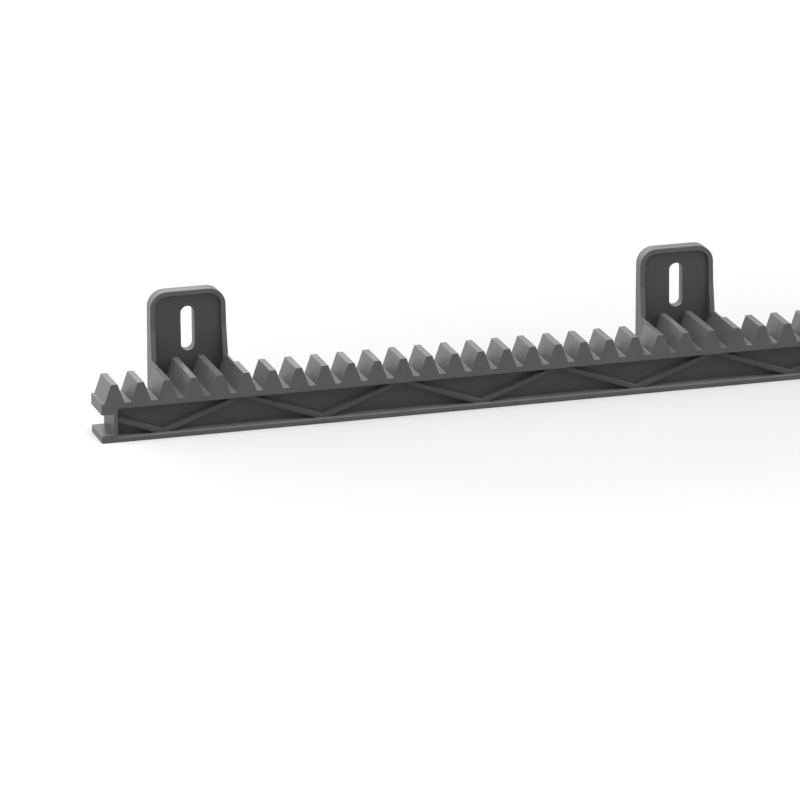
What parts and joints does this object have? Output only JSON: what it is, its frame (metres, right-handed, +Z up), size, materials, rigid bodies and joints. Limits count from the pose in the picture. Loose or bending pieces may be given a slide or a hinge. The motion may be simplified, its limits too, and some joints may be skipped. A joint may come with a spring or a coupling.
{
  "type": "sliding gate rack",
  "caption": "Straight toothed rack for a sliding gate, moulded bar with zigzag bracing, two slotted fixing lugs and an interlocking end joint",
  "frame": {"origin": "centre of the bottom of the part's bounding box", "axes": "+X runs along the rack towards the end with the tongue, +Z is up through the teeth, -Y faces the ribbed front and +Y faces the gate that the lugs are screwed to"},
  "size_m": [0.483, 0.04, 0.06],
  "materials": {
    "moulding": "satin dark grey moulded nylon, fine uneven sheen, slightly softened edges",
    "core_steel": "plain zinc-plated flat steel bar, sealed in the moulding"
  },
  "bodies": {
    "root": {"rack_body": "moulding", "steel_core": "core_steel"}
  },
  "joints": []
}
